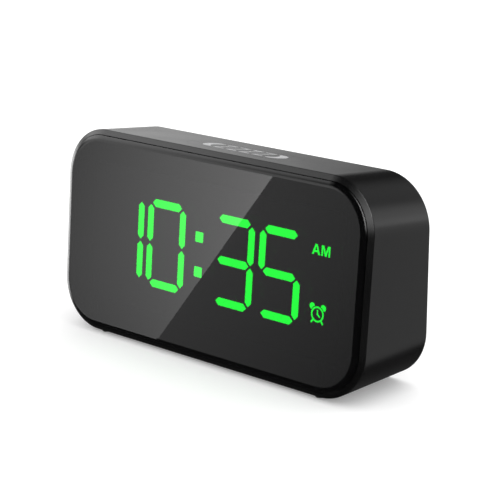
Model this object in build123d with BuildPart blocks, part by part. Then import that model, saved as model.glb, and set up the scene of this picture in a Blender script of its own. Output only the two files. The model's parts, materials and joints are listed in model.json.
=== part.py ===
from build123d import *
import math
import os

os.makedirs("parts", exist_ok=True)

# ---------------------------------------------------------------------------
# Desk alarm clock with a green LED display.
# Millimetres.  +X right as the display is read, -Y front, +Z up.
# Origin: middle of the footprint, on the table under the rubber feet.
# ---------------------------------------------------------------------------

# overall case
CASE_W = 134.5            # width of the case
CASE_H = 70.0             # height of the front outer edge above the case bottom
BASE_D = 32.40            # depth of the case along its flat bottom
LEAN = 0.082              # backward lean of the front, radians
TOP_FALL = 0.112          # fall of the top towards the rear, mm per mm
CORNER_R = 17.0           # corner radius seen from the front
WALL = 2.2                # side wall
FOOT_H = 1.0              # height of the rubber feet
FRONT_Y = -15.3335         # y of the case's lower front edge

# rim and front lens, measured out from the plane of the outer front edge
RIM_PROUD = 1.10
RIM_INSET = 1.72
LENS_GAP = 0.24
LENS_FLAT = 2.04          # flat face of the lens
LENS_EDGE_IN = 3.93       # where the rounded lens edge meets the flat
LENS_EDGE_R = 3.044
LENS_BACK = -1.05
LEDGE_FRONT = -1.20
LEDGE_BACK = -3.20
WIN_S = 55.0              # half width of the window in the ledge
WIN_T0, WIN_T1 = 11.5, 58.5

# rear cover and boards, y measured back from the lower front edge
COVER_OUT = 31.20
COVER_IN = 29.20
COVER_GAP = 0.12
PCB_F, PCB_R = 16.0, 17.6

# LED display, s across and t up the leaning front, d proud of the edge plane
DISP_S, DISP_T0, DISP_T1 = 54.5, 12.0, 58.0
DISP_FRONT = -1.15
DISP_BACK = -7.50
DPCB_BACK = -9.10
SEG_T = 0.60
DS, DT = -0.30, -0.10     # fine position of the whole read-out on its plane
DIGITS = {"hour_tens": -39.4, "hour_units": -20.0, "minute_tens": 10.5, "minute_units": 30.2}
LIT = {"hour_tens": "bc", "hour_units": "abcdef", "minute_tens": "abgcd", "minute_units": "afgcd"}

# case screws
BOSSES = [(-58.9, 8.3), (58.9, 8.3), (-58.9, 58.2), (58.9, 58.2)]
# board posts on the rear cover
POSTS = [(-48.5, 25.5), (57.0, 22.0), (-48.5, 49.0), (18.0, 49.5)]

# rear controls, x and height above the case bottom
KEYS = {"time_key": 10.0, "alarm_key": -1.5, "up_key": -13.0, "down_key": -24.5}
KEY_Z = 47.0
KEY_R = 3.0
KEY_TRAVEL = 0.35
SLIDERS = {"alarm": 2.0, "hour_format": -18.0}
SLIDER_Z = 35.0
SLIDER_THROW = 3.0
WHEEL_X, WHEEL_Y, WHEEL_Z = -38.5, 26.4, 47.0
WHEEL_R, WHEEL_T = 6.0, 3.0
SPK_X, SPK_Z = 38.0, 35.0
CELL_X, CELL_Z = 8.0, 17.0
USB_X, USB_Z = -19.5, 16.0
JACK_X, JACK_Z = -38.0, 16.0

# snooze key in the top
SNZ_X, SNZ_Y = 3.4, 17.3
SNZ_L, SNZ_W = 47.0, 12.6
SNZ_GAP = 0.07
SNZ_TRAVEL = 0.6
SNZ_SW_Y = 18.6

CA, SA, TA = math.cos(LEAN), math.sin(LEAN), math.tan(LEAN)

# leaning plane of the outer front edge: local x = s, local y = t, normal = proud
FRONT = Plane(origin=(0, FRONT_Y, FOOT_H), x_dir=(1, 0, 0), z_dir=(0, -CA, SA))


def rear(y):
    """Plane facing +Y at depth y; local x runs to -X, local y up."""
    return Plane(origin=(0, FRONT_Y + y, FOOT_H), x_dir=(-1, 0, 0), z_dir=(0, 1, 0))


def level(z, x=0.0, y=0.0):
    """Horizontal plane z above the case bottom, y back from the front edge."""
    return Plane(origin=(x, FRONT_Y + y, FOOT_H + z), x_dir=(1, 0, 0), z_dir=(0, 0, 1))


YZ = Plane(origin=(0, FRONT_Y, FOOT_H), x_dir=(0, 1, 0), z_dir=(1, 0, 0))


def top_z(y):
    return CASE_H - TOP_FALL * (y - CASE_H * TA)


def profile(d_front, y_rear, inset):
    """Side profile as (y, z): leaning front at d_front, walls inset."""
    drop = inset / math.cos(math.atan(TOP_FALL))
    z0 = inset
    # lower front corner: on plane d_front at height z0
    y0 = z0 * TA - d_front / CA
    # upper front corner: plane d_front meets the sloping top
    y1 = (-d_front / CA + TA * (CASE_H + TOP_FALL * CASE_H * TA - drop)) / (1 + TA * TOP_FALL)
    return [(y0, z0), (y_rear, z0), (y_rear, top_z(y_rear) - drop), (y1, top_z(y1) - drop)]


def depth_edges(part, half):
    """The four corner edges that run from front to rear."""
    out = []
    for e in part.edges():
        a, b = e.position_at(0), e.position_at(1)
        if abs(abs(a.X) - half) < 0.01 and abs(abs(b.X) - half) < 0.01:
            v = (b - a).normalized()
            if abs(v.Y) > 0.9:
                out.append(e)
    return out


# outline of the front on its own plane at the rim height
T_BOT = -RIM_PROUD * TA
T_TOP = (CASE_H + TOP_FALL * CASE_H * TA + TOP_FALL * RIM_PROUD * CA - RIM_PROUD * SA) / (CA + TOP_FALL * SA)
T_MID = (T_BOT + T_TOP) / 2
T_LEN = T_TOP - T_BOT

# ---------------------------------------------------------------------------
# case: one sleeve with the rim, the ledge behind the lens and four bosses
# ---------------------------------------------------------------------------
with BuildPart() as case_cavity:
    with BuildSketch(YZ):
        with BuildLine():
            Polyline(*profile(LEDGE_BACK, BASE_D + 2.0, WALL), close=True)
        make_face()
    extrude(amount=CASE_W / 2 - WALL, both=True)
    fillet(depth_edges(case_cavity, CASE_W / 2 - WALL), CORNER_R - WALL)

with BuildPart() as case_shell:
    with BuildSketch(YZ):
        with BuildLine():
            Polyline(*profile(RIM_PROUD, BASE_D, 0.0), close=True)
        make_face()
    extrude(amount=CASE_W / 2, both=True)
    fillet(depth_edges(case_shell, CASE_W / 2), CORNER_R)
    front_face = case_shell.faces().sort_by(Axis.Y)[0]
    chamfer(front_face.edges(), length=RIM_INSET, length2=RIM_PROUD, reference=front_face)
    # soft break between the rim and the side walls
    outer = [e for e in case_shell.edges() if abs((e.center() - FRONT.origin).dot(FRONT.z_dir)) < 0.05
             and abs((e.position_at(0) - FRONT.origin).dot(FRONT.z_dir)) < 0.05]
    fillet(outer, 0.28)
    # soft break at the rear outer edge
    rear_face = case_shell.faces().filter_by(Axis.Y).sort_by(Axis.Y)[-1]
    fillet(rear_face.edges(), 0.35)
    add(case_cavity.part, mode=Mode.SUBTRACT)
    # lens pocket
    with BuildSketch(FRONT.offset(LEDGE_FRONT)):
        with Locations((0, T_MID)):
            RectangleRounded(CASE_W - 2 * RIM_INSET, T_LEN - 2 * RIM_INSET, CORNER_R - RIM_INSET)
    extrude(amount=4.0, mode=Mode.SUBTRACT)
    # display window in the ledge
    with BuildSketch(FRONT.offset(LEDGE_BACK - 0.5)):
        with Locations((0, (WIN_T0 + WIN_T1) / 2)):
            RectangleRounded(2 * WIN_S, WIN_T1 - WIN_T0, 2.0)
    extrude(amount=4.0, mode=Mode.SUBTRACT)
    # screw bosses for the rear cover
    with BuildSketch(rear(COVER_IN)):
        for bx, bz in BOSSES:
            with Locations((-bx, bz)):
                Circle(3.2)
    extrude(amount=-(COVER_IN - 7.5))
    with BuildSketch(rear(COVER_IN)):
        for bx, bz in BOSSES:
            with Locations((-bx, bz)):
                Circle(1.0)
    extrude(amount=-11.0, mode=Mode.SUBTRACT)
    # posts for the display board, behind the ledge
    with BuildSketch(FRONT.offset(DISP_BACK)):
        with Locations(*[(sx * 58.8, t) for sx in (-1, 1) for t in (22.0, 48.0)]):
            Circle(2.3)
    extrude(amount=LEDGE_BACK - DISP_BACK + 0.2)
    with BuildSketch(FRONT.offset(DISP_BACK)):
        with Locations(*[(sx * 58.8, t) for sx in (-1, 1) for t in (22.0, 48.0)]):
            Circle(0.8)
    extrude(amount=4.0, mode=Mode.SUBTRACT)
    # hanging posts for the snooze board
    with BuildSketch(level(55.2)):
        with Locations(*[(SNZ_X + sx * 29.0, SNZ_SW_Y) for sx in (-1, 1)]):
            Circle(2.3)
    extrude(amount=12.2)
    with BuildSketch(level(55.2)):
        with Locations(*[(SNZ_X + sx * 29.0, SNZ_SW_Y) for sx in (-1, 1)]):
            Circle(0.8)
    extrude(amount=5.0, mode=Mode.SUBTRACT)
    # opening for the snooze key
    with BuildSketch(level(60.0)):
        with Locations((SNZ_X, SNZ_Y)):
            RectangleRounded(SNZ_L + 2 * SNZ_GAP, SNZ_W + 2 * SNZ_GAP, SNZ_W / 2 + SNZ_GAP - 0.01)
    extrude(amount=12.0, mode=Mode.SUBTRACT)
    # sockets for the rubber feet
    with BuildSketch(level(0.0)):
        with Locations(*[(sx * 48.5, fy) for sx in (-1, 1) for fy in (2.6, 27.5)]):
            Circle(1.0)
    extrude(amount=1.2, mode=Mode.SUBTRACT)
    # small pinhole low on the right side, just behind the rim
    with BuildSketch(Plane(origin=(CASE_W / 2 - 1.4, FRONT_Y + 1.9, FOOT_H + 11.2), x_dir=(0, 1, 0), z_dir=(1, 0, 0))):
        Circle(0.4)
    extrude(amount=3.0, mode=Mode.SUBTRACT)
case_shell.part.label = "case_shell"

# ---------------------------------------------------------------------------
# front lens with a rounded edge, and its adhesive ring
# ---------------------------------------------------------------------------
LO = RIM_INSET + LENS_GAP
LBIG = LENS_EDGE_IN - LENS_EDGE_R
with BuildPart() as lens_blank:
    with BuildSketch(FRONT.offset(LENS_FLAT - 4.2)):
        with Locations((0, T_MID)):
            RectangleRounded(CASE_W - 2 * LBIG, T_LEN - 2 * LBIG, CORNER_R - LBIG)
    extrude(amount=4.2)
    fillet(lens_blank.faces().sort_by(Axis(FRONT.origin, FRONT.z_dir))[-1].edges(), LENS_EDGE_R)

with BuildPart() as front_lens:
    with BuildSketch(FRONT.offset(LENS_BACK)):
        with Locations((0, T_MID)):
            RectangleRounded(CASE_W - 2 * LO, T_LEN - 2 * LO, CORNER_R - LO)
    extrude(amount=LENS_FLAT - LENS_BACK + 1.0)
    add(lens_blank.part, mode=Mode.INTERSECT)
front_lens.part.label = "front_lens"

with BuildPart() as lens_tape:
    with BuildSketch(FRONT.offset(LEDGE_FRONT)):
        with Locations((0, T_MID)):
            RectangleRounded(CASE_W - 2 * LO - 1.0, T_LEN - 2 * LO - 1.0, CORNER_R - LO - 0.5)
        with Locations((0, (WIN_T0 + WIN_T1) / 2)):
            RectangleRounded(2 * WIN_S + 1.0, WIN_T1 - WIN_T0 + 1.0, 2.5, mode=Mode.SUBTRACT)
    extrude(amount=LENS_BACK - LEDGE_FRONT)
lens_tape.part.label = "lens_tape"


# ---------------------------------------------------------------------------
# LED display: segment outlines
# ---------------------------------------------------------------------------
def seg_points(kind, c):
    """Pointed bar outlines of the seven segments around digit centre c."""
    def bar_h(t0, t1):
        m = (t0 + t1) / 2
        return [(-6.8, m), (-5.4, t1), (5.4, t1), (6.8, m), (5.4, t0), (-5.4, t0)]

    def bar_v(x, t0, t1):
        w = 1.35
        return [(x, t1), (x + w, t1 - w), (x + w, t0 + w), (x, t0), (x - w, t0 + w), (x - w, t1 - w)]

    pts = {
        "a": bar_h(47.45, 50.20), "g": bar_h(33.80, 36.45), "d": bar_h(20.00, 22.65),
        "b": bar_v(7.45, 35.40, 48.20), "c": bar_v(7.45, 21.90, 34.75),
        "f": bar_v(-7.45, 35.40, 48.20), "e": bar_v(-7.45, 21.90, 34.75),
    }[kind]
    return [(c + x + DS, t + DT) for x, t in pts]


def seg_centre(kind, c):
    p = seg_points(kind, c)
    return (sum(q[0] for q in p) / 6, sum(q[1] for q in p) / 6)


ALL_SEGS = [(n, k) for n in DIGITS for k in "abcdefg"]
COLON = [(-4.8 + DS, 40.85 + DT), (-4.7 + DS, 29.15 + DT)]
COLON_W = 3.5

# indicator letters, 3.5 high
AM_S, AM_T, AM_K = 43.0 + DS, 44.35 + DT, 0.95
LETTER_A = [(0, 0), (1.30, 3.5), (2.20, 3.5), (3.50, 0), (2.68, 0), (2.40, 0.80), (1.10, 0.80), (0.82, 0)]
HOLE_A = [(1.34, 1.45), (1.75, 2.72), (2.16, 1.45)]
LETTER_M = [(3.95, 0), (3.95, 3.5), (5.05, 3.5), (5.80, 1.20), (6.55, 3.5), (7.60, 3.5), (7.60, 0),
            (6.90, 0), (6.90, 2.60), (6.12, 0), (5.45, 0), (4.65, 2.60), (4.65, 0)]
ICON_S, ICON_T = 46.75 + DS, 25.70 + DT


with BuildSketch() as letters_outline:
    with BuildLine():
        Polyline(*[(AM_S + AM_K * x, AM_T + AM_K * y) for x, y in LETTER_A], close=True)
    make_face()
    with BuildLine():
        Polyline(*[(AM_S + AM_K * x, AM_T + AM_K * y) for x, y in HOLE_A], close=True)
    make_face(mode=Mode.SUBTRACT)
    with BuildLine():
        Polyline(*[(AM_S + AM_K * x, AM_T + AM_K * y) for x, y in LETTER_M], close=True)
    make_face()

# twin-bell clock pictogram: dial ring, hands, two bells, two feet
with BuildSketch() as icon_outline:
    # bells, cut round the dial
    with Locations(*[(ICON_S + sx * 2.22, ICON_T + 2.34) for sx in (-1, 1)]):
        Circle(1.08)
    with Locations((ICON_S, ICON_T)):
        Circle(2.80, mode=Mode.SUBTRACT)
        Circle(2.55)
        Circle(1.98, mode=Mode.SUBTRACT)
    # hands at twelve and about four
    with Locations((ICON_S, ICON_T + 0.62)):
        Rectangle(0.50, 1.70)
    with Locations((ICON_S + 0.50, ICON_T - 0.36)):
        Rectangle(1.45, 0.50, rotation=-38)
    # feet
    for sx in (-1, 1):
        with Locations((ICON_S + sx * 2.02, ICON_T - 2.42)):
            RectangleRounded(0.62, 1.25, 0.25, rotation=sx * 40)


BAR_R = 0.32


def bars(pairs):
    """Flat outline of the named bars, corners softened."""
    with BuildSketch() as flat:
        for n, k in pairs:
            with BuildLine():
                Polyline(*seg_points(k, DIGITS[n]), close=True)
            make_face()
        fillet(flat.vertices(), BAR_R)
    return flat.sketch


ALL_BARS = bars(ALL_SEGS)
with BuildPart() as display_housing:
    with BuildSketch(FRONT.offset(DISP_BACK)):
        with Locations((0, (DISP_T0 + DISP_T1) / 2)):
            RectangleRounded(2 * DISP_S, DISP_T1 - DISP_T0, 1.6)
    extrude(amount=DISP_FRONT - DISP_BACK)
    # light wells, one behind each segment
    with BuildSketch(FRONT.offset(DISP_BACK)):
        add(ALL_BARS)
        for q in COLON:
            with Locations(q):
                RectangleRounded(COLON_W, COLON_W, 0.45)
    extrude(amount=DISP_FRONT - DISP_BACK, mode=Mode.SUBTRACT)
    # shallow pockets for the two indicators
    with BuildSketch(FRONT.offset(DISP_FRONT - SEG_T)):
        add(letters_outline.sketch)
        add(icon_outline.sketch)
    extrude(amount=SEG_T, mode=Mode.SUBTRACT)
    # light holes behind the indicators
    with BuildSketch(FRONT.offset(DISP_BACK)):
        with Locations((AM_S + 1.75, AM_T + 1.1), (AM_S + 5.8, AM_T + 1.4), (ICON_S, ICON_T)):
            Circle(0.9)
    extrude(amount=DISP_FRONT - SEG_T - DISP_BACK, mode=Mode.SUBTRACT)
display_housing.part.label = "display_housing"

SEG_BASE = FRONT.offset(DISP_FRONT - SEG_T)


def lit_digit(name):
    with BuildPart() as seg:
        with BuildSketch(SEG_BASE):
            add(bars([(name, k) for k in LIT[name]]))
        extrude(amount=SEG_T)
    return seg


hour_tens_segments = lit_digit("hour_tens")
hour_tens_segments.part.label = "hour_tens_segments"
hour_units_segments = lit_digit("hour_units")
hour_units_segments.part.label = "hour_units_segments"
minute_tens_segments = lit_digit("minute_tens")
minute_tens_segments.part.label = "minute_tens_segments"
minute_units_segments = lit_digit("minute_units")
minute_units_segments.part.label = "minute_units_segments"

with BuildPart() as unlit_segments:
    with BuildSketch(SEG_BASE):
        add(bars([(n, k) for n, k in ALL_SEGS if k not in LIT[n]]))
    extrude(amount=SEG_T)
unlit_segments.part.label = "unlit_segments"

with BuildPart() as colon_dots:
    with BuildSketch(SEG_BASE):
        with Locations(*COLON):
            RectangleRounded(COLON_W, COLON_W, 0.45)
    extrude(amount=SEG_T)
colon_dots.part.label = "colon_dots"

with BuildPart() as am_indicator:
    with BuildSketch(SEG_BASE):
        add(letters_outline.sketch)
    extrude(amount=SEG_T)
am_indicator.part.label = "am_indicator"

with BuildPart() as alarm_icon:
    with BuildSketch(SEG_BASE):
        add(icon_outline.sketch)
    extrude(amount=SEG_T)
alarm_icon.part.label = "alarm_icon"

# board behind the display, with ears for its four screws
with BuildPart() as display_pcb:
    with BuildSketch(FRONT.offset(DPCB_BACK)):
        with Locations((0, (DISP_T0 + DISP_T1) / 2)):
            Rectangle(106.0, 45.0)
        with Locations((0, 35.0)):
            RectangleRounded(123.6, 36.0, 2.0)
        with Locations(*[(sx * 58.8, t) for sx in (-1, 1) for t in (22.0, 48.0)]):
            Circle(1.1, mode=Mode.SUBTRACT)
    extrude(amount=DISP_BACK - DPCB_BACK)
display_pcb.part.label = "display_pcb"

with BuildPart() as display_leds:
    with BuildSketch(FRONT.offset(DISP_BACK)):
        for n, k in ALL_SEGS:
            with Locations(seg_centre(k, DIGITS[n])):
                if k in "adg":
                    Rectangle(1.6, 0.8)
                else:
                    Rectangle(0.8, 1.6)
        with Locations(*COLON):
            Rectangle(1.6, 0.8)
        with Locations((AM_S + 1.75, AM_T + 1.1), (AM_S + 5.8, AM_T + 1.4), (ICON_S, ICON_T)):
            Rectangle(1.2, 0.8)
    extrude(amount=0.6)
display_leds.part.label = "display_leds"

with BuildPart() as display_screws:
    with BuildSketch(FRONT.offset(DPCB_BACK)):
        with Locations(*[(sx * 58.8, t) for sx in (-1, 1) for t in (22.0, 48.0)]):
            Circle(0.8)
    extrude(amount=5.0)
    with BuildSketch(FRONT.offset(DPCB_BACK)):
        with Locations(*[(sx * 58.8, t) for sx in (-1, 1) for t in (22.0, 48.0)]):
            Circle(1.7)
    extrude(amount=-1.1)
    with BuildSketch(FRONT.offset(DPCB_BACK - 1.1)):
        with Locations(*[(sx * 58.8, t) for sx in (-1, 1) for t in (22.0, 48.0)]):
            Rectangle(2.0, 0.4)
            Rectangle(0.4, 2.0)
    extrude(amount=0.6, mode=Mode.SUBTRACT)
display_screws.part.label = "display_screws"

# ---------------------------------------------------------------------------
# rear cover: inset plate with grille, key holes, slots, sockets and posts
# ---------------------------------------------------------------------------
with BuildPart() as cover_bound:
    with BuildSketch(YZ):
        with BuildLine():
            Polyline(*profile(LEDGE_BACK, BASE_D + 2.0, WALL + COVER_GAP), close=True)
        make_face()
    extrude(amount=CASE_W / 2 - WALL - COVER_GAP, both=True)
    fillet(depth_edges(cover_bound, CASE_W / 2 - WALL - COVER_GAP), CORNER_R - WALL - COVER_GAP)

GRILLE = [(0.0, 0.0)]
for ring, count in ((2.9, 6), (5.8, 12), (8.7, 18), (11.6, 24)):
    GRILLE += [(ring * math.cos(2 * math.pi * i / count), ring * math.sin(2 * math.pi * i / count)) for i in range(count)]

with BuildPart() as rear_cover:
    with BuildSketch(rear(COVER_IN)):
        with Locations((0, 35.0)):
            Rectangle(CASE_W + 4, 90)
    extrude(amount=COVER_OUT - COVER_IN)
    add(cover_bound.part, mode=Mode.INTERSECT)
    # posts that carry the main board
    with BuildSketch(rear(PCB_R)):
        with Locations(*[(-x, z) for x, z in POSTS]):
            Circle(2.4)
    extrude(amount=COVER_IN - PCB_R + 0.3)
    with BuildSketch(rear(PCB_R)):
        with Locations(*[(-x, z) for x, z in POSTS]):
            Circle(0.9)
    extrude(amount=8.0, mode=Mode.SUBTRACT)
    # ring that locates the loudspeaker
    with BuildSketch(rear(26.0)):
        with Locations((-SPK_X, SPK_Z)):
            Circle(15.9)
            Circle(14.8, mode=Mode.SUBTRACT)
    extrude(amount=COVER_IN - 26.0 + 0.3)
    # cup for the coin cell
    with BuildSketch(rear(25.2)):
        with Locations((-CELL_X, CELL_Z)):
            Circle(11.8)
    extrude(amount=COVER_IN - 25.2 + 0.3)
    with BuildSketch(rear(26.4)):
        with Locations((-CELL_X, CELL_Z)):
            Circle(10.45)
    extrude(amount=8.0, mode=Mode.SUBTRACT)
    # recess for the battery door
    with BuildSketch(rear(30.0)):
        with Locations((-CELL_X, CELL_Z)):
            RectangleRounded(27.0, 23.0, 3.0)
    extrude(amount=3.0, mode=Mode.SUBTRACT)
    # screw holes with head recesses
    with BuildSketch(rear(COVER_IN - 0.5)):
        with Locations(*[(-x, z) for x, z in BOSSES]):
            Circle(1.3)
    extrude(amount=4.0, mode=Mode.SUBTRACT)
    with BuildSketch(rear(30.0)):
        with Locations(*[(-x, z) for x, z in BOSSES]):
            Circle(2.7)
    extrude(amount=3.0, mode=Mode.SUBTRACT)
    # keys, sliders, dimmer slot, sockets
    with BuildSketch(rear(COVER_IN - 0.5)):
        with Locations(*[(-x, KEY_Z) for x in KEYS.values()]):
            Circle(KEY_R + 0.15)
        with Locations(*[(-x, SLIDER_Z) for x in SLIDERS.values()]):
            RectangleRounded(8.4, 3.4, 0.6)
        with Locations((-WHEEL_X, WHEEL_Z)):
            RectangleRounded(11.4, 3.6, 0.6)
        with Locations((-USB_X, USB_Z)):
            RectangleRounded(13.5, 6.3, 0.4)
        with Locations((-JACK_X, JACK_Z)):
            Circle(4.3)
    extrude(amount=4.0, mode=Mode.SUBTRACT)
    # shallow dished surrounds of the keys
    with BuildSketch(rear(COVER_OUT - 0.4)):
        with Locations(*[(-x, KEY_Z) for x in KEYS.values()]):
            Circle(KEY_R + 1.1)
    extrude(amount=2.0, mode=Mode.SUBTRACT)
    # grille holes
    with BuildSketch(rear(COVER_IN - 0.5)):
        with Locations(*[(-SPK_X + gx, SPK_Z + gz) for gx, gz in GRILLE]):
            Circle(0.85)
    extrude(amount=4.0, mode=Mode.SUBTRACT)
rear_cover.part.label = "rear_cover"

with BuildPart() as rear_screws:
    with BuildSketch(rear(30.0)):
        with Locations(*[(-x, z) for x, z in BOSSES]):
            Circle(2.4)
    extrude(amount=1.0)
    with BuildSketch(rear(30.0)):
        with Locations(*[(-x, z) for x, z in BOSSES]):
            Circle(1.0)
    extrude(amount=-10.0)
    fillet(rear_screws.faces().filter_by(Axis.Y).sort_by(Axis.Y)[-4:].edges(), 0.4)
    with BuildSketch(rear(30.3)):
        with Locations(*[(-x, z) for x, z in BOSSES]):
            Rectangle(2.8, 0.6)
            Rectangle(0.6, 2.8)
    extrude(amount=1.5, mode=Mode.SUBTRACT)
rear_screws.part.label = "rear_screws"

with BuildPart() as rubber_feet:
    with BuildSketch(level(-FOOT_H)):
        with Locations(*[(sx * 48.5, fy) for sx in (-1, 1) for fy in (2.6, 27.5)]):
            Circle(1.5)
    extrude(amount=FOOT_H)
    fillet(rubber_feet.faces().filter_by(Axis.Z).sort_by(Axis.Z)[:4].edges(), 0.25)
    with BuildSketch(level(0.0)):
        with Locations(*[(sx * 48.5, fy) for sx in (-1, 1) for fy in (2.6, 27.5)]):
            Circle(1.0)
    extrude(amount=1.1)
rubber_feet.part.label = "rubber_feet"

# ---------------------------------------------------------------------------
# main board and its parts
# ---------------------------------------------------------------------------
with BuildPart() as main_pcb:
    with BuildSketch(rear(PCB_F)):
        with Locations((0, 30.5)):
            RectangleRounded(104.0, 43.0, 1.5)
        with Locations((-56.5, 22.0)):
            RectangleRounded(10.0, 10.0, 1.5)
        with Locations(*[(-x, z) for x, z in POSTS]):
            Circle(1.2, mode=Mode.SUBTRACT)
    extrude(amount=PCB_R - PCB_F)
main_pcb.part.label = "main_pcb"

with BuildPart() as pcb_screws:
    with BuildSketch(rear(PCB_F)):
        with Locations(*[(-x, z) for x, z in POSTS]):
            Circle(0.9)
    extrude(amount=8.0)
    with BuildSketch(rear(PCB_F)):
        with Locations(*[(-x, z) for x, z in POSTS]):
            Circle(2.0)
    extrude(amount=-1.1)
    with BuildSketch(rear(PCB_F - 1.1)):
        with Locations(*[(-x, z) for x, z in POSTS]):
            Rectangle(2.2, 0.5)
            Rectangle(0.5, 2.2)
    extrude(amount=0.6, mode=Mode.SUBTRACT)
pcb_screws.part.label = "pcb_screws"

with BuildPart() as clock_chip:
    with BuildSketch(rear(PCB_F)):
        with Locations((5.0, 33.0)):
            Rectangle(10.0, 10.0)
    extrude(amount=-1.5)
    with BuildSketch(rear(PCB_F)):
        with Locations((5.0, 33.0)):
            with GridLocations(0.8, 11.0, 11, 2):
                Rectangle(0.35, 1.4)
            with GridLocations(11.0, 0.8, 2, 11):
                Rectangle(1.4, 0.35)
    extrude(amount=-0.5)
clock_chip.part.label = "clock_chip"

with BuildPart() as driver_chip:
    with BuildSketch(rear(PCB_F)):
        with Locations((26.0, 33.0)):
            Rectangle(13.0, 7.4)
    extrude(amount=-2.0)
    with BuildSketch(rear(PCB_F)):
        with Locations((26.0, 33.0)):
            with GridLocations(1.27, 8.6, 10, 2):
                Rectangle(0.45, 1.8)
    extrude(amount=-0.6)
driver_chip.part.label = "driver_chip"

with BuildPart() as crystal:
    with BuildSketch(rear(PCB_F)):
        with Locations((-7.0, 33.0)):
            RectangleRounded(3.2, 8.0, 1.4)
    extrude(amount=-2.6)
crystal.part.label = "crystal"

CAPS = [(-16.0, 42.0, 2.5, 5.4), (-22.5, 42.0, 2.5, 5.4), (-31.0, 14.0, 2.0, 4.4)]
with BuildPart() as capacitors:
    for cx, cz, cr, ch in CAPS:
        with BuildSketch(rear(PCB_R)):
            with Locations((cx, cz)):
                Circle(cr)
        extrude(amount=ch)
capacitors.part.label = "capacitors"

with BuildPart() as resistors:
    with BuildSketch(rear(PCB_F)):
        with Locations((26.0, 20.0)):
            with GridLocations(2.4, 4.0, 8, 2):
                Rectangle(0.8, 1.6)
    extrude(amount=-0.5)
resistors.part.label = "resistors"

# flat ribbon between the two boards, with its two sockets
RIB_S = -8.0
Y_D = lambda z: z * TA - DPCB_BACK / CA
with BuildPart() as ribbon_connectors:
    with BuildSketch(FRONT.offset(DPCB_BACK)):
        with Locations((RIB_S, 16.0)):
            Rectangle(18.0, 3.0)
    extrude(amount=-1.5)
    with BuildSketch(rear(PCB_F)):
        with Locations((-RIB_S, 13.0)):
            Rectangle(18.0, 3.0)
    extrude(amount=-1.5)
ribbon_connectors.part.label = "ribbon_connectors"

with BuildPart() as display_ribbon:
    with BuildSketch(Plane(origin=(RIB_S - 7.5, FRONT_Y, FOOT_H), x_dir=(0, 1, 0), z_dir=(1, 0, 0))):
        with BuildLine():
            Polyline((Y_D(14.4) + 0.5, 13.62), (Y_D(14.4) + 0.5, 11.6), (Y_D(14.4) + 1.1, 10.4), (PCB_F - 1.4, 10.4),
                     (PCB_F - 0.7, 11.4), (PCB_F - 0.7, 11.5), (PCB_F - 1.1, 11.5), (PCB_F - 1.55, 10.8),
                     (Y_D(14.4) + 1.3, 10.8), (Y_D(14.4) + 0.9, 11.7), (Y_D(14.4) + 0.9, 13.62), close=True)
        make_face()
    extrude(amount=15.0)
display_ribbon.part.label = "display_ribbon"

# ---------------------------------------------------------------------------
# rear keys, each over its own tact switch
# ---------------------------------------------------------------------------
with BuildPart() as key_switches:
    with BuildSketch(rear(PCB_R)):
        with Locations(*[(-x, KEY_Z) for x in KEYS.values()]):
            RectangleRounded(6.0, 6.0, 0.4)
    extrude(amount=4.4)
    with BuildSketch(rear(PCB_R + 4.4)):
        with Locations(*[(-x, KEY_Z) for x in KEYS.values()]):
            Circle(1.75)
    extrude(amount=-1.6, mode=Mode.SUBTRACT)
key_switches.part.label = "key_switches"


def key_cap(x):
    with BuildPart() as cap:
        with BuildSketch(rear(28.3)):
            with Locations((-x, KEY_Z)):
                Circle(KEY_R)
        extrude(amount=COVER_OUT + 0.9 - 28.3)
        fillet(cap.faces().filter_by(Axis.Y).sort_by(Axis.Y)[-1].edges(), 0.5)
        with BuildSketch(rear(28.3)):
            with Locations((-x, KEY_Z)):
                Circle(KEY_R + 0.9)
        extrude(amount=0.85)
        with BuildSketch(rear(23.4)):
            with Locations((-x, KEY_Z)):
                Circle(1.7)
        extrude(amount=5.0)
    return cap


def key_plunger(x):
    with BuildPart() as plunger:
        with BuildSketch(rear(21.0)):
            with Locations((-x, KEY_Z)):
                Circle(1.65)
        extrude(amount=2.4)
    return plunger


time_key = key_cap(KEYS["time_key"])
time_key.part.label = "time_key"
alarm_key = key_cap(KEYS["alarm_key"])
alarm_key.part.label = "alarm_key"
up_key = key_cap(KEYS["up_key"])
up_key.part.label = "up_key"
down_key = key_cap(KEYS["down_key"])
down_key.part.label = "down_key"
time_plunger = key_plunger(KEYS["time_key"])
time_plunger.part.label = "time_plunger"
alarm_plunger = key_plunger(KEYS["alarm_key"])
alarm_plunger.part.label = "alarm_plunger"
up_plunger = key_plunger(KEYS["up_key"])
up_plunger.part.label = "up_plunger"
down_plunger = key_plunger(KEYS["down_key"])
down_plunger.part.label = "down_plunger"


# ---------------------------------------------------------------------------
# slide switches
# ---------------------------------------------------------------------------
def slide_switch(x):
    with BuildPart() as body:
        with BuildSketch(rear(PCB_R)):
            with Locations((-x, SLIDER_Z)):
                Rectangle(9.0, 4.4)
        extrude(amount=4.8)
        with BuildSketch(rear(PCB_R + 4.8)):
            with Locations((-x, SLIDER_Z)):
                Rectangle(6.0, 2.0)
        extrude(amount=-1.6, mode=Mode.SUBTRACT)
    return body


def slide_knob(x):
    """Lever at the +X end of its throw."""
    x0 = x + SLIDER_THROW / 2
    with BuildPart() as knob:
        with BuildSketch(rear(21.2)):
            with Locations((-x0, SLIDER_Z)):
                Rectangle(2.2, 1.8)
        extrude(amount=28.2 - 21.2)
        with BuildSketch(rear(28.2)):
            with Locations((-x0, SLIDER_Z)):
                Rectangle(4.6, 3.0)
        extrude(amount=COVER_OUT + 0.8 - 28.2)
        # finger grooves
        with BuildSketch(rear(COVER_OUT + 0.5)):
            with Locations((-x0, SLIDER_Z)):
                with GridLocations(1.3, 1, 3, 1):
                    Rectangle(0.5, 3.4)
        extrude(amount=1.0, mode=Mode.SUBTRACT)
    return knob


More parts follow.
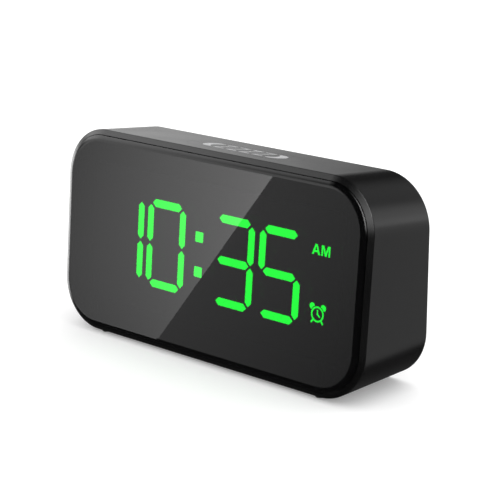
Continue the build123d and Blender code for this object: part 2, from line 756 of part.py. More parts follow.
alarm_switch = slide_switch(SLIDERS["alarm"])
alarm_switch.part.label = "alarm_switch"
alarm_slider = slide_knob(SLIDERS["alarm"])
alarm_slider.part.label = "alarm_slider"
hour_format_switch = slide_switch(SLIDERS["hour_format"])
hour_format_switch.part.label = "hour_format_switch"
hour_format_slider = slide_knob(SLIDERS["hour_format"])
hour_format_slider.part.label = "hour_format_slider"

# ---------------------------------------------------------------------------
# dimmer: thumbwheel on the shaft of a potentiometer
# ---------------------------------------------------------------------------
with BuildPart() as dimmer_body:
    with BuildSketch(level(40.4)):
        with Locations((WHEEL_X, (PCB_R + 28.9) / 2)):
            Rectangle(10.0, 28.9 - PCB_R)
    extrude(amount=4.8)
    with BuildSketch(level(45.2)):
        with Locations((WHEEL_X, WHEEL_Y)):
            Circle(1.5)
    extrude(amount=4.0)
dimmer_body.part.label = "dimmer_body"

with BuildPart() as dimmer_wheel:
    with BuildSketch(level(WHEEL_Z - WHEEL_T / 2)):
        with Locations((WHEEL_X, WHEEL_Y)):
            Circle(WHEEL_R)
            Circle(1.55, mode=Mode.SUBTRACT)
            with PolarLocations(WHEEL_R, 36):
                Circle(0.22, mode=Mode.SUBTRACT)
    extrude(amount=WHEEL_T)
dimmer_wheel.part.label = "dimmer_wheel"

# ---------------------------------------------------------------------------
# loudspeaker
# ---------------------------------------------------------------------------
SPK = Plane(origin=(SPK_X, FRONT_Y, FOOT_H + SPK_Z), x_dir=(1, 0, 0), z_dir=(0, 0, 1))
SPK_AXIS = Axis((SPK_X, 0, FOOT_H + SPK_Z), (0, 1, 0))
with BuildPart() as speaker_frame:
    with BuildSketch(SPK):
        with BuildLine():
            Polyline((7.5, 23.4), (9.0, 23.4), (12.9, 27.6), (14.5, 27.6), (14.5, 29.2), (13.0, 29.2), (13.0, 28.6),
                     (12.2, 28.2), (8.4, 24.2), (7.5, 24.2), close=True)
        make_face()
    revolve(axis=SPK_AXIS)
speaker_frame.part.label = "speaker_frame"

with BuildPart() as speaker_cone:
    with BuildSketch(SPK):
        with BuildLine():
            Polyline((0, 26.4), (2.6, 26.1), (4.2, 25.3), (11.2, 27.9), (12.9, 28.7), (12.9, 29.0), (11.0, 28.4),
                     (4.2, 25.9), (2.7, 26.6), (0, 26.9), close=True)
        make_face()
    revolve(axis=SPK_AXIS)
speaker_cone.part.label = "speaker_cone"

with BuildPart() as speaker_magnet:
    with BuildSketch(rear(19.4)):
        with Locations((-SPK_X, SPK_Z)):
            Circle(8.3)
    extrude(amount=4.0)
    fillet(speaker_magnet.faces().filter_by(Axis.Y).sort_by(Axis.Y)[0].edges(), 0.5)
speaker_magnet.part.label = "speaker_magnet"

with BuildPart() as speaker_leads:
    for k, (sx, tz) in enumerate([(-1.3, 21.0), (1.3, 21.0)]):
        with BuildSketch(Plane(origin=(SPK_X + 2.0 * sx, FRONT_Y + PCB_R, FOOT_H + SPK_Z - 10.6), x_dir=(1, 0, 0), z_dir=(0, 1, 0))):
            Circle(0.6)
        extrude(amount=24.3 - PCB_R)
speaker_leads.part.label = "speaker_leads"

# ---------------------------------------------------------------------------
# charging port, power jack, backup cell
# ---------------------------------------------------------------------------
with BuildPart() as usb_shell:
    with BuildSketch(rear(PCB_R)):
        with Locations((-USB_X, USB_Z)):
            RectangleRounded(13.1, 5.8, 0.6)
    extrude(amount=COVER_OUT - 0.1 - PCB_R)
    with BuildSketch(rear(PCB_R + 0.4)):
        with Locations((-USB_X, USB_Z)):
            RectangleRounded(12.4, 5.1, 0.3)
    extrude(amount=16.0, mode=Mode.SUBTRACT)
usb_shell.part.label = "usb_shell"

with BuildPart() as usb_tongue:
    with BuildSketch(rear(PCB_R + 0.4)):
        with Locations((-USB_X, USB_Z)):
            RectangleRounded(12.4, 5.1, 0.3)
    extrude(amount=3.0)
    with BuildSketch(rear(PCB_R + 3.4)):
        with Locations((-USB_X, USB_Z + 0.95)):
            Rectangle(11.1, 1.84)
    extrude(amount=8.6)
usb_tongue.part.label = "usb_tongue"

with BuildPart() as dc_jack:
    with BuildSketch(rear(PCB_R)):
        with Locations((-JACK_X, JACK_Z)):
            RectangleRounded(9.6, 9.6, 0.5)
    extrude(amount=COVER_IN - PCB_R)
    with BuildSketch(rear(COVER_IN)):
        with Locations((-JACK_X, JACK_Z)):
            Circle(4.2)
    extrude(amount=COVER_OUT - COVER_IN)
    with BuildSketch(rear(21.5)):
        with Locations((-JACK_X, JACK_Z)):
            Circle(3.15)
    extrude(amount=16.0, mode=Mode.SUBTRACT)
dc_jack.part.label = "dc_jack"

with BuildPart() as dc_pin:
    with BuildSketch(rear(21.5)):
        with Locations((-JACK_X, JACK_Z)):
            Circle(1.0)
    extrude(amount=8.0)
    fillet(dc_pin.faces().filter_by(Axis.Y).sort_by(Axis.Y)[-1].edges(), 0.35)
dc_pin.part.label = "dc_pin"

with BuildPart() as coin_cell:
    with BuildSketch(rear(26.75)):
        with Locations((-CELL_X, CELL_Z)):
            Circle(8.9)
    extrude(amount=0.5)
    with BuildSketch(rear(27.25)):
        with Locations((-CELL_X, CELL_Z)):
            Circle(10.0)
    extrude(amount=2.65)
    fillet(coin_cell.faces().filter_by(Axis.Y).sort_by(Axis.Y)[-1].edges(), 0.4)
coin_cell.part.label = "coin_cell"

with BuildPart() as battery_contacts:
    with BuildSketch(rear(26.4)):
        with Locations((-CELL_X, CELL_Z)):
            Rectangle(12.0, 3.0)
    extrude(amount=0.35)
    with BuildSketch(level(CELL_Z + 10.02)):
        with Locations((CELL_X, 28.4)):
            Rectangle(3.0, 2.0)
    extrude(amount=0.16)
battery_contacts.part.label = "battery_contacts"

with BuildPart() as battery_door:
    with BuildSketch(rear(30.02)):
        with Locations((-CELL_X, CELL_Z)):
            RectangleRounded(26.7, 22.7, 2.85)
    extrude(amount=COVER_OUT - 30.02)
    with BuildSketch(rear(COVER_OUT)):
        with Locations((-CELL_X, CELL_Z)):
            with GridLocations(1, 1.6, 1, 4):
                RectangleRounded(10.0, 0.7, 0.3)
    extrude(amount=0.45)
battery_door.part.label = "battery_door"

# ---------------------------------------------------------------------------
# snooze key in the top, over its own board and switch
# ---------------------------------------------------------------------------
with BuildPart() as snooze_key:
    # body of the cap, cut off along the sloping top
    with BuildSketch(level(64.2)):
        with Locations((SNZ_X, SNZ_Y)):
            RectangleRounded(SNZ_L, SNZ_W, SNZ_W / 2 - 0.01)
    extrude(amount=10.0)
    with BuildSketch(YZ):
        with BuildLine():
            Polyline((-5, top_z(-5)), (45, top_z(45)), (45, 90), (-5, 90), close=True)
        make_face()
    extrude(amount=60.0, both=True, mode=Mode.SUBTRACT)
    # retaining flange under the top wall
    with BuildSketch(level(64.2)):
        with Locations((SNZ_X, SNZ_Y)):
            RectangleRounded(SNZ_L + 2.2, SNZ_W + 1.6, 3.0)
    extrude(amount=1.0)
    with BuildSketch(level(59.6)):
        with Locations((SNZ_X, SNZ_SW_Y)):
            Circle(2.0)
    extrude(amount=5.0)
snooze_key.part.label = "snooze_key"

with BuildPart() as snooze_plunger:
    with BuildSketch(level(58.0)):
        with Locations((SNZ_X, SNZ_SW_Y)):
            Circle(1.65)
    extrude(amount=1.6)
snooze_plunger.part.label = "snooze_plunger"

with BuildPart() as snooze_switch:
    with BuildSketch(level(55.2)):
        with Locations((SNZ_X, SNZ_SW_Y)):
            RectangleRounded(6.0, 6.0, 0.4)
    extrude(amount=3.6)
    with BuildSketch(level(58.8)):
        with Locations((SNZ_X, SNZ_SW_Y)):
            Circle(1.75)
    extrude(amount=-1.6, mode=Mode.SUBTRACT)
snooze_switch.part.label = "snooze_switch"

with BuildPart() as snooze_board:
    with BuildSketch(level(54.0)):
        with Locations((SNZ_X, SNZ_SW_Y)):
            RectangleRounded(64.0, 6.8, 1.0)
        with Locations(*[(SNZ_X + sx * 29.0, SNZ_SW_Y) for sx in (-1, 1)]):
            Circle(1.1, mode=Mode.SUBTRACT)
    extrude(amount=1.2)
snooze_board.part.label = "snooze_board"

with BuildPart() as snooze_screws:
    with BuildSketch(level(54.0)):
        with Locations(*[(SNZ_X + sx * 29.0, SNZ_SW_Y) for sx in (-1, 1)]):
            Circle(0.8)
    extrude(amount=5.5)
    with BuildSketch(level(54.0)):
        with Locations(*[(SNZ_X + sx * 29.0, SNZ_SW_Y) for sx in (-1, 1)]):
            Circle(1.7)
    extrude(amount=-1.0)
snooze_screws.part.label = "snooze_screws"

# ---------------------------------------------------------------------------
# one STEP file per piece
# ---------------------------------------------------------------------------
PIECES = [
    case_shell, front_lens, lens_tape, display_housing, hour_tens_segments, hour_units_segments,
    minute_tens_segments, minute_units_segments, colon_dots, am_indicator, alarm_icon, unlit_segments,
    display_pcb, display_leds, display_screws, rear_cover, rear_screws, rubber_feet, main_pcb, pcb_screws,
    clock_chip, driver_chip, crystal, capacitors, resistors, ribbon_connectors, display_ribbon, key_switches,
    time_key, alarm_key, up_key, down_key, time_plunger, alarm_plunger, up_plunger, down_plunger,
    alarm_switch, alarm_slider, hour_format_switch, hour_format_slider, dimmer_body, dimmer_wheel,
    speaker_frame, speaker_cone, speaker_magnet, speaker_leads, usb_shell, usb_tongue, dc_jack, dc_pin,
    coin_cell, battery_contacts, battery_door, snooze_key, snooze_plunger, snooze_switch, snooze_board,
    snooze_screws,
]
for piece in PIECES:
    export_step(piece.part, "parts/" + piece.part.label + ".step")

boxes = [p.part.bounding_box() for p in PIECES]
print("low", round(min(b.min.X for b in boxes), 3), round(min(b.min.Y for b in boxes), 3), round(min(b.min.Z for b in boxes), 3),
      "high", round(max(b.max.X for b in boxes), 3), round(max(b.max.Y for b in boxes), 3), round(max(b.max.Z for b in boxes), 3))
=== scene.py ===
import json
import math

import bpy
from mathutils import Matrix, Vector


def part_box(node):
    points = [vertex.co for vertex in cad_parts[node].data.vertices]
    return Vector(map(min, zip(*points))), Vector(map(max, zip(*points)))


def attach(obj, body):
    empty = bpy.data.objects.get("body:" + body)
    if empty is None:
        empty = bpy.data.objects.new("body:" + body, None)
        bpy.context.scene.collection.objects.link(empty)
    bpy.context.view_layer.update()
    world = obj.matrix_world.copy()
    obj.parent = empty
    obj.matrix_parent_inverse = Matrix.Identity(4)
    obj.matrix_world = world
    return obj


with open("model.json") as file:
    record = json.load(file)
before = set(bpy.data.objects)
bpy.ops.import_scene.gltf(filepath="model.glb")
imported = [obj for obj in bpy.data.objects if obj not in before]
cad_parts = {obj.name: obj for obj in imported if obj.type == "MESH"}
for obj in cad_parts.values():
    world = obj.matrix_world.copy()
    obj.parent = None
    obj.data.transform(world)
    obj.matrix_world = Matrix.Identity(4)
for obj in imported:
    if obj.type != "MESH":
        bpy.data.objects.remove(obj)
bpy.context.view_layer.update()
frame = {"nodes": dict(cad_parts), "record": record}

FRONT_Y = -0.0153335      # y of the case's lower front edge
FOOT = 0.0010             # height of the case's bottom
LEAN = 0.082              # backward lean of the front
CA, SA = math.cos(LEAN), math.sin(LEAN)


def front_point(s, t, d):
    """Point on the leaning front: s across, t up the slope, d out, in metres."""
    return Vector((s, FRONT_Y + t * SA - d * CA, FOOT + t * CA + d * SA))


# ---------------------------------------------------------------------------
# material helpers
# ---------------------------------------------------------------------------
def new_material(name):
    mat = bpy.data.materials.new(name)
    mat.use_nodes = True
    nt = mat.node_tree
    bsdf = next(n for n in nt.nodes if n.type == "BSDF_PRINCIPLED")
    return mat, nt, bsdf


def add_node(nt, kind, **values):
    n = nt.nodes.new(kind)
    for key, value in values.items():
        if key in n.inputs:
            n.inputs[key].default_value = value
        else:
            setattr(n, key, value)
    return n


def object_coords(nt):
    return nt.nodes.new("ShaderNodeTexCoord").outputs["Object"]


def map_range(nt, src, a, b, c, d, smooth=False):
    n = nt.nodes.new("ShaderNodeMapRange")
    if smooth:
        n.interpolation_type = "SMOOTHSTEP"
    n.inputs["From Min"].default_value = a
    n.inputs["From Max"].default_value = b
    n.inputs["To Min"].default_value = c
    n.inputs["To Max"].default_value = d
    nt.links.new(src, n.inputs["Value"])
    return n.outputs["Result"]


def noise(nt, coords, scale, detail=3.0, rough=0.5):
    n = nt.nodes.new("ShaderNodeTexNoise")
    n.inputs["Scale"].default_value = scale
    n.inputs["Detail"].default_value = detail
    n.inputs["Roughness"].default_value = rough
    nt.links.new(coords, n.inputs["Vector"])
    return n.outputs["Fac"]


def mix_colour(nt, fac, a, b):
    n = nt.nodes.new("ShaderNodeMix")
    n.data_type = "RGBA"
    n.inputs[6].default_value = (*a, 1)
    n.inputs[7].default_value = (*b, 1)
    nt.links.new(fac, n.inputs[0])
    return n.outputs[2]


def bump(nt, bsdf, height, strength, distance):
    n = nt.nodes.new("ShaderNodeBump")
    n.inputs["Strength"].default_value = strength
    n.inputs["Distance"].default_value = distance
    nt.links.new(height, n.inputs["Height"])
    nt.links.new(n.outputs["Normal"], bsdf.inputs["Normal"])


def moulded(name, dark, light, r0, r1, grain=900.0, depth=0.00001, strength=0.25, ior=1.5, metallic=0.0):
    """Moulded plastic or painted part: fine grain, slow gloss variation, faint colour variation."""
    mat, nt, bsdf = new_material(name)
    co = object_coords(nt)
    slow = noise(nt, co, 35.0, 4.0, 0.55)
    fine = noise(nt, co, grain, 2.0, 0.5)
    nt.links.new(mix_colour(nt, map_range(nt, slow, 0.3, 0.7, 0.0, 1.0), dark, light), bsdf.inputs["Base Color"])
    add = nt.nodes.new("ShaderNodeMath")
    add.operation = "MULTIPLY_ADD"
    nt.links.new(fine, add.inputs[0])
    add.inputs[1].default_value = 0.35
    nt.links.new(slow, add.inputs[2])
    nt.links.new(map_range(nt, add.outputs[0], 0.45, 0.9, r0, r1), bsdf.inputs["Roughness"])
    bump(nt, bsdf, fine, strength, depth)
    bsdf.inputs["IOR"].default_value = ior
    bsdf.inputs["Metallic"].default_value = metallic
    return mat


def metal(name, a, b, r0, r1, stretch=(1, 1, 1), scale=400.0):
    """Plated or brushed metal with fine directional streaks."""
    mat, nt, bsdf = new_material(name)
    mp = nt.nodes.new("ShaderNodeMapping")
    mp.inputs["Scale"].default_value = stretch
    nt.links.new(object_coords(nt), mp.inputs["Vector"])
    streak = noise(nt, mp.outputs[0], scale, 3.0, 0.6)
    slow = noise(nt, object_coords(nt), 120.0, 2.0, 0.5)
    nt.links.new(mix_colour(nt, slow, a, b), bsdf.inputs["Base Color"])
    nt.links.new(map_range(nt, streak, 0.3, 0.7, r0, r1), bsdf.inputs["Roughness"])
    bump(nt, bsdf, streak, 0.1, 0.000005)
    bsdf.inputs["Metallic"].default_value = 1.0
    return mat


def board(name):
    """Solder mask over copper tracks."""
    mat, nt, bsdf = new_material(name)
    co = object_coords(nt)
    wave = nt.nodes.new("ShaderNodeTexWave")
    wave.wave_type = "BANDS"
    wave.bands_direction = "X"
    wave.inputs["Scale"].default_value = 260.0
    wave.inputs["Distortion"].default_value = 6.0
    wave.inputs["Detail"].default_value = 1.0
    wave.inputs["Detail Scale"].default_value = 0.4
    nt.links.new(co, wave.inputs["Vector"])
    track = map_range(nt, wave.outputs["Fac"], 0.55, 0.65, 0.0, 1.0)
    nt.links.new(mix_colour(nt, track, (0.012, 0.085, 0.035), (0.022, 0.15, 0.06)), bsdf.inputs["Base Color"])
    fine = noise(nt, co, 700.0, 2.0)
    nt.links.new(map_range(nt, fine, 0.3, 0.7, 0.28, 0.42), bsdf.inputs["Roughness"])
    bump(nt, bsdf, track, 0.3, 0.00003)
    return mat


def glowing(name, colour, strength, ambient=0.75):
    """Lit diffuser: even glow, its colour a touch weaker in fine random patches."""
    mat, nt, bsdf = new_material(name)
    fine = noise(nt, object_coords(nt), 260.0, 2.0)
    nt.links.new(mix_colour(nt, map_range(nt, fine, 0.3, 0.7, 0.0, 1.0),
                            (colour[0] * 0.92, colour[1] * 0.95, colour[2] * 0.92), colour),
                 bsdf.inputs["Emission Color"])
    bsdf.inputs["Emission Strength"].default_value = strength
    bsdf.inputs["Base Color"].default_value = (0.01, 0.30, 0.04, 1)
    nt.links.new(map_range(nt, fine, 0.3, 0.7, 0.45, 0.6), bsdf.inputs["Roughness"])
    return mat


# ---------------------------------------------------------------------------
# materials
# ---------------------------------------------------------------------------
MATS = {}
MATS["case_black"] = moulded("case_satin_black", (0.0014, 0.0014, 0.0015), (0.0022, 0.0022, 0.0023), 0.19, 0.25, grain=2600.0, depth=0.000004, strength=0.12)
MATS["cover_black"] = moulded("cover_textured_black", (0.0110, 0.0110, 0.0115), (0.0160, 0.0160, 0.0166), 0.40, 0.54, grain=1500.0, depth=0.00003, strength=0.5)
MATS["key_black"] = moulded("key_satin_black", (0.0065, 0.0065, 0.0070), (0.0095, 0.0095, 0.0100), 0.28, 0.38, grain=1800.0, depth=0.00001, strength=0.3)
MATS["tape_black"] = moulded("tape_black", (0.004, 0.004, 0.004), (0.006, 0.006, 0.006), 0.6, 0.8)
MATS["housing_black"] = moulded("housing_black", (0.004, 0.004, 0.004), (0.006, 0.006, 0.006), 0.7, 0.85)
MATS["segment_dark"] = moulded("segment_dark", (0.004, 0.0045, 0.004), (0.006, 0.0065, 0.006), 0.6, 0.75)
MATS["circuit_board"] = board("circuit_board")
MATS["chip_ceramic"] = moulded("chip_ceramic", (0.42, 0.39, 0.30), (0.58, 0.55, 0.46), 0.35, 0.55)
MATS["chip_epoxy"] = moulded("chip_epoxy", (0.010, 0.010, 0.011), (0.018, 0.018, 0.019), 0.5, 0.68)
MATS["screw_steel"] = metal("screw_zinc", (0.50, 0.50, 0.52), (0.66, 0.66, 0.68), 0.22, 0.38)
MATS["screw_black"] = metal("screw_black_oxide", (0.045, 0.045, 0.048), (0.075, 0.075, 0.08), 0.30, 0.45)
MATS["foot_rubber"] = moulded("foot_rubber", (0.008, 0.008, 0.008), (0.014, 0.014, 0.014), 0.62, 0.8, grain=1400.0, depth=0.00003, strength=0.5)
MATS["capacitor_can"] = metal("capacitor_can", (0.50, 0.51, 0.53), (0.62, 0.63, 0.65), 0.25, 0.35)
MATS["connector_white"] = moulded("connector_ivory", (0.60, 0.58, 0.50), (0.70, 0.68, 0.60), 0.35, 0.5)
MATS["connector_steel"] = metal("connector_nickel", (0.58, 0.57, 0.54), (0.68, 0.67, 0.64), 0.15, 0.28, stretch=(1, 8, 1))
MATS["ribbon_white"] = moulded("ribbon_white", (0.62, 0.62, 0.60), (0.72, 0.72, 0.70), 0.35, 0.45)
MATS["plunger_white"] = moulded("plunger_ivory", (0.60, 0.59, 0.52), (0.70, 0.69, 0.62), 0.4, 0.55)
MATS["speaker_paper"] = moulded("speaker_paper", (0.018, 0.017, 0.015), (0.035, 0.033, 0.030), 0.8, 0.95, grain=1100.0, depth=0.00006, strength=0.8)
MATS["magnet_iron"] = metal("magnet_cup", (0.20, 0.20, 0.21), (0.30, 0.30, 0.31), 0.35, 0.5)
MATS["lead_red"] = moulded("lead_red", (0.35, 0.012, 0.012), (0.45, 0.02, 0.02), 0.35, 0.5)

LENS_ALPHA = 0.88
LENS_PASS = (1 - LENS_ALPHA) ** 2
MATS["led_green"] = glowing("led_green_lit", (0.0002, 1.0, 0.034), 1.02 / LENS_PASS)

# smoked lens: near black, polished, with a trace of what is behind it
lens, nt, bsdf = new_material("lens_smoke")
co = object_coords(nt)
wipe = noise(nt, co, 60.0, 3.0, 0.55)
bsdf.inputs["Base Color"].default_value = (0.0012, 0.0012, 0.0014, 1)
nt.links.new(map_range(nt, wipe, 0.3, 0.7, 0.004, 0.014), bsdf.inputs["Roughness"])
bsdf.inputs["IOR"].default_value = 1.49
bsdf.inputs["Alpha"].default_value = LENS_ALPHA
MATS["lens_smoke"] = lens

slots = {s["node"]: s["material_slot"] for s in frame["record"]["subparts"]}
for node, obj in frame["nodes"].items():
    mat = MATS[slots[node]]
    if obj.material_slots:
        for ms in obj.material_slots:
            ms.material = mat
    else:
        obj.data.materials.append(mat)

# ---------------------------------------------------------------------------
# floor, studio surroundings, lights, camera
# ---------------------------------------------------------------------------
def plane_object(name, corners):
    me = bpy.data.meshes.new(name)
    me.from_pydata([tuple(c) for c in corners], [], [tuple(range(len(corners)))])
    ob = bpy.data.objects.new(name, me)
    bpy.context.scene.collection.objects.link(ob)
    return ob


floor = plane_object("floor", [(-6, -6, 0), (6, -6, 0), (6, 6, 0), (-6, 6, 0)])
fmat, nt, bsdf = new_material("floor_white")
bsdf.inputs["Base Color"].default_value = (0.93, 0.93, 0.93, 1)
bsdf.inputs["Roughness"].default_value = 0.9
bsdf.inputs["Specular IOR Level"].default_value = 0.0
bsdf.inputs["Emission Color"].default_value = (1, 1, 1, 1)
bsdf.inputs["Emission Strength"].default_value = 0.22
floor.data.materials.append(fmat)
floor.visible_glossy = False

world = bpy.data.worlds.new("studio")
bpy.context.scene.world = world
world.use_nodes = True
wt = world.node_tree
wt.nodes.clear()
wout = wt.nodes.new("ShaderNodeOutputWorld")
direction = wt.nodes.new("ShaderNodeTexCoord").outputs["Generated"]


def w_math(op, a, b):
    n = wt.nodes.new("ShaderNodeMath")
    n.operation = op
    for i, v in enumerate((a, b)):
        if isinstance(v, (int, float)):
            n.inputs[i].default_value = v
        else:
            wt.links.new(v, n.inputs[i])
    return n.outputs[0]


def soft_lobe(d, inner, outer, level):
    """Soft round patch of light around direction d: full inside inner degrees, none past outer."""
    v = Vector(d).normalized()
    dot = wt.nodes.new("ShaderNodeVectorMath")
    dot.operation = "DOT_PRODUCT"
    wt.links.new(direction, dot.inputs[0])
    dot.inputs[1].default_value = v
    mr = wt.nodes.new("ShaderNodeMapRange")
    mr.interpolation_type = "SMOOTHSTEP"
    mr.inputs["From Min"].default_value = math.cos(math.radians(outer))
    mr.inputs["From Max"].default_value = math.cos(math.radians(inner))
    mr.inputs["To Min"].default_value = 0.0
    mr.inputs["To Max"].default_value = level
    wt.links.new(dot.outputs["Value"], mr.inputs["Value"])
    return mr.outputs["Result"]


def cut(level_node, axis, none, full):
    """Trims a patch along an axis: nothing at none, whole at full."""
    dot = wt.nodes.new("ShaderNodeVectorMath")
    dot.operation = "DOT_PRODUCT"
    wt.links.new(direction, dot.inputs[0])
    dot.inputs[1].default_value = axis
    mr = wt.nodes.new("ShaderNodeMapRange")
    mr.interpolation_type = "SMOOTHSTEP"
    mr.inputs["From Min"].default_value = min(none, full)
    mr.inputs["From Max"].default_value = max(none, full)
    if full < none:
        mr.inputs["To Min"].default_value = 1.0
        mr.inputs["To Max"].default_value = 0.0
    wt.links.new(dot.outputs["Value"], mr.inputs["Value"])
    return w_math("MULTIPLY", level_node, mr.outputs["Result"])


UP = (0.0, 0.0, 1.0)
LOBES = [
    # direction, inner degrees, outer degrees, level, trims as (axis, none, full)
    ((-0.86, 0.50, 0.06), 8, 28.5, 0.86, ()),                                        # left rear, at the horizon
    ((-0.82, 0.52, -0.20), 8, 30, 0.30, ((UP, -0.42, -0.28), (UP, 0.0, -0.12))),     # left rear, low
    ((-0.96, 0.15, -0.15), 8, 34, 0.62, ((UP, -0.42, -0.28),)),                      # left
    ((-0.975, -0.05, -0.20), 8, 26, 1.80, ((UP, -0.42, -0.28), (UP, 0.05, -0.10))),  # left, towards the front
    ((0.72, 0.70, 0.08), 14, 32, 0.65, ((UP, -0.02, 0.02),)),                        # right rear backdrop
    ((0.45, -0.60, 0.55), 14, 40, 7.00, (((0.5, 0.87, 0.0), -0.62, -0.45),)),        # bright box above the front
    ((-0.86, -0.28, 0.42), 8, 30, 2.50, ((UP, 0.10, 0.34),)),                        # left, above
    ((-0.78, -0.62, 0.05), 4, 28, 0.90, ()),                                         # left front
    ((-0.71, -0.70, 0.08), 4, 18, 0.75, ((UP, -0.09, 0.01),)),                       # left front, above the horizon
    ((0.64, 0.72, -0.22), 14, 27, 0.44, ()),                                         # right rear, low
    ((0.30, 0.90, 0.35), 6, 40, 0.30, ()),                                           # rear
    ((-0.10, 0.65, -0.75), 10, 36, 0.020, ()),                                        # rear, from the floor
]
total = None
for d, a, b, lv, trims in LOBES:
    s = soft_lobe(d, a, b, lv)
    for trim in trims:
        s = cut(s, *trim)
    total = s if total is None else w_math("ADD", total, s)
total = w_math("ADD", total, 0.04)
bg_gloss = wt.nodes.new("ShaderNodeBackground")
bg_gloss.inputs["Color"].default_value = (1, 1, 1, 1)
wt.links.new(total, bg_gloss.inputs["Strength"])
bg_soft = wt.nodes.new("ShaderNodeBackground")
bg_soft.inputs["Color"].default_value = (1, 1, 1, 1)
bg_soft.inputs["Strength"].default_value = 1.0
path = wt.nodes.new("ShaderNodeLightPath")
wmix = wt.nodes.new("ShaderNodeMixShader")
wt.links.new(path.outputs["Is Glossy Ray"], wmix.inputs[0])
wt.links.new(bg_soft.outputs[0], wmix.inputs[1])
wt.links.new(bg_gloss.outputs[0], wmix.inputs[2])
wt.links.new(wmix.outputs[0], wout.inputs["Surface"])


def area_light(name, loc, target, size, power, glossy=False):
    li = bpy.data.lights.new(name, "AREA")
    li.shape = "SQUARE"
    li.size = size
    li.energy = power
    ob = bpy.data.objects.new(name, li)
    bpy.context.scene.collection.objects.link(ob)
    ob.location = loc
    ob.rotation_euler = (Vector(target) - Vector(loc)).to_track_quat("-Z", "Y").to_euler()
    ob.visible_glossy = glossy
    return ob


area_light("overhead", (0.25, 0.35, 1.1), (0, 0, 0.03), 1.2, 4.0)

# camera
az, el, dist = 0.738, 0.272, 0.560585
back = Vector((math.sin(az) * math.cos(el), -math.cos(az) * math.cos(el), math.sin(el)))
cam_data = bpy.data.cameras.new("camera")
cam = bpy.data.objects.new("camera", cam_data)
bpy.context.scene.collection.objects.link(cam)
cam.location = Vector((0, 0.020 + FRONT_Y, 0.035 + FOOT)) + back * dist
cam.rotation_euler = (-back).to_track_quat("-Z", "Y").to_euler()
cam_data.sensor_width = 36.0
cam_data.lens = 121.195
cam_data.shift_x = 0.014588
cam_data.shift_y = -0.006464
cam_data.clip_start = 0.01
bpy.context.scene.camera = cam
bpy.context.scene.view_settings.view_transform = "Standard"

# ---------------------------------------------------------------------------
# glare: a low light card that only shows in polished surfaces. It lies where
# the lens mirrors it, so its straight edge crosses the lens as a diagonal.
# ---------------------------------------------------------------------------
CARD_Z = 0.0004
lens_n = Vector((0, -CA, SA))


def mirrored(s, t):
    """Where the camera sees the floor mirrored in the lens at (s, t)."""
    p = front_point(s, t, 0.00204)
    v = (p - cam.location).normalized()
    r = v - 2 * v.dot(lens_n) * lens_n
    k = (CARD_Z - p.z) / r.z
    return p + r * k


def edge(t):
    """s of the diagonal at height t."""
    return 0.0279 + (t - 0.0666) * (0.0279 + 0.0181) / (0.0666 - 0.0045)


NS, NT = 24, 16
verts, levels, faces = [], [], []
for j in range(NT + 1):
    t = 0.0010 + (0.0700 - 0.0010) * j / NT
    for i in range(NS + 1):
        u = i / NS
        sx = -0.0720 + (edge(t) + 0.0720) * u
        verts.append(tuple(mirrored(sx, t)))
        # brightest high up along the straight edge, dimmer away from it
        away = (edge(t) - sx) / 0.085
        level = 1.0 - 0.66 * max(0.0, min(1.0, away)) ** 0.8
        levels.append(level * (0.45 + 0.55 * j / NT))
for j in range(NT):
    for i in range(NS):
        k = j * (NS + 1) + i
        faces.append((k, k + 1, k + NS + 2, k + NS + 1))
me = bpy.data.meshes.new("glare_card")
me.from_pydata(verts, [], faces)
attr = me.attributes.new("level", "FLOAT", "POINT")
attr.data.foreach_set("value", levels)
card = bpy.data.objects.new("glare_card", me)
bpy.context.scene.collection.objects.link(card)
cmat = bpy.data.materials.new("glare_card")
cmat.use_nodes = True
nt = cmat.node_tree
nt.nodes.clear()
cout = nt.nodes.new("ShaderNodeOutputMaterial")
cem = nt.nodes.new("ShaderNodeEmission")
att = nt.nodes.new("ShaderNodeAttribute")
att.attribute_name = "level"
mul = nt.nodes.new("ShaderNodeMath")
mul.operation = "MULTIPLY"
mul.inputs[1].default_value = 3.65
nt.links.new(att.outputs["Fac"], mul.inputs[0])
nt.links.new(mul.outputs[0], cem.inputs["Strength"])
nt.links.new(cem.outputs[0], cout.inputs["Surface"])
card.data.materials.append(cmat)
card.visible_camera = False
card.visible_diffuse = False
card.visible_shadow = False
card.visible_transmission = False
card.visible_volume_scatter = False

# ---------------------------------------------------------------------------
# printed marking on the snooze key: moons and sleep marks, a thin raised ink film
# ---------------------------------------------------------------------------
key_lo, key_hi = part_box("snooze_key")
KX = (key_lo[0] + key_hi[0]) / 2
KY = FRONT_Y + 0.0173
TOP_FALL = 0.112
TOP_Z0 = FOOT + 0.070
TOP_Y0 = FRONT_Y + 0.070 * math.tan(LEAN)


def on_top(x, y, lift):
    return (KX + x, KY + y, TOP_Z0 - TOP_FALL * (KY + y - TOP_Y0) + lift)


def strip(points, width):
    """Outline of a polyline drawn with a pen of the given width, mitred corners."""
    left, right = [], []
    n = len(points)
    for i, p in enumerate(points):
        p = Vector(p)
        d0 = (p - Vector(points[i - 1])).normalized() if i > 0 else None
        d1 = (Vector(points[i + 1]) - p).normalized() if i < n - 1 else None
        if d0 is None:
            d0 = d1
        if d1 is None:
            d1 = d0
        n0, n1 = Vector((-d0.y, d0.x)), Vector((-d1.y, d1.x))
        m = (n0 + n1).normalized()
        k = width / 2 / max(0.3, m.dot(n0))
        left.append(p + m * k)
        right.append(p - m * k)
    return left, right


print_verts, print_faces = [], []
INK = 0.000012


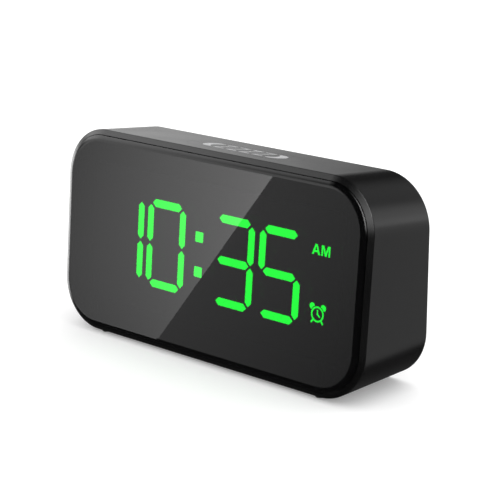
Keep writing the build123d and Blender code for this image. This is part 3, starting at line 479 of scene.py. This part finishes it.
def add_quad_strip(left, right):
    base = len(print_verts)
    n = len(left)
    for q in left:
        print_verts.append(on_top(q.x, q.y, INK))
    for q in right:
        print_verts.append(on_top(q.x, q.y, INK))
    for q in left:
        print_verts.append(on_top(q.x, q.y, -0.00001))
    for q in right:
        print_verts.append(on_top(q.x, q.y, -0.00001))
    for i in range(n - 1):
        a, b, c, d = base + i, base + i + 1, base + n + i + 1, base + n + i
        print_faces.append((d, c, b, a))
        a2, b2, c2, d2 = a + 2 * n, b + 2 * n, c + 2 * n, d + 2 * n
        print_faces.append((a2, b2, c2, d2))
        print_faces.append((a, b, b2, a2))
        print_faces.append((c, d, d2, c2))
    print_faces.append((base, base + 2 * n, base + 3 * n, base + n))
    e = base + n - 1
    print_faces.append((e, e + n, e + 3 * n, e + 2 * n))


def sleep_mark(cx, w, h, pen):
    pts = [(cx - w / 2, h / 2 - pen / 2), (cx + w / 2 - pen * 0.6, h / 2 - pen / 2),
           (cx - w / 2 + pen * 0.6, -h / 2 + pen / 2), (cx + w / 2, -h / 2 + pen / 2)]
    add_quad_strip(*strip([Vector(p) for p in pts], pen))


def moon(cx, r, flip):
    """Crescent between two arcs."""
    outer, inner = [], []
    steps = 28
    for i in range(steps + 1):
        a = math.radians(62 + (298 - 62) * i / steps)
        outer.append(Vector((cx + flip * (r * math.cos(a)), r * math.sin(a))))
    p0, p1 = outer[0], outer[-1]
    # inner arc through the two horns, bulging the same way but less
    mid = (p0 + p1) / 2
    half = (p0 - p1).length / 2
    sag = r * 0.62
    rr = (half * half + sag * sag) / (2 * sag)
    c = mid + Vector((flip * (rr - sag), 0))
    a0 = math.atan2(p0.y - c.y, flip * (p0.x - c.x))
    a1 = math.atan2(p1.y - c.y, flip * (p1.x - c.x)) % (2 * math.pi)
    for i in range(steps + 1):
        a = a0 + (a1 - a0) * i / steps
        inner.append(Vector((c.x + flip * rr * math.cos(a), c.y + rr * math.sin(a))))
    if flip > 0:
        add_quad_strip(inner, outer)
    else:
        add_quad_strip(outer, inner)


PITCH = 0.0056
moon(-2.5 * PITCH + 0.0006, 0.0040, 1)
for k in (-1.5, -0.5, 0.5, 1.5):
    sleep_mark(k * PITCH, 0.0043, 0.0078, 0.00080)
moon(2.5 * PITCH - 0.0006, 0.0040, -1)
me = bpy.data.meshes.new("snooze_print")
me.from_pydata(print_verts, [], print_faces)
me.validate()
import bmesh
bm = bmesh.new()
bm.from_mesh(me)
bmesh.ops.recalc_face_normals(bm, faces=bm.faces)
bm.to_mesh(me)
bm.free()
snooze_print = bpy.data.objects.new("snooze_print", me)
bpy.context.scene.collection.objects.link(snooze_print)
ink, nt, bsdf = new_material("print_grey")
co = object_coords(nt)
worn = noise(nt, co, 900.0, 3.0, 0.6)
nt.links.new(mix_colour(nt, map_range(nt, worn, 0.35, 0.65, 0.0, 1.0), (0.42, 0.42, 0.43), (0.56, 0.56, 0.57)), bsdf.inputs["Base Color"])
nt.links.new(map_range(nt, worn, 0.3, 0.7, 0.45, 0.6), bsdf.inputs["Roughness"])
snooze_print.data.materials.append(ink)
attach(snooze_print, "snooze_button")
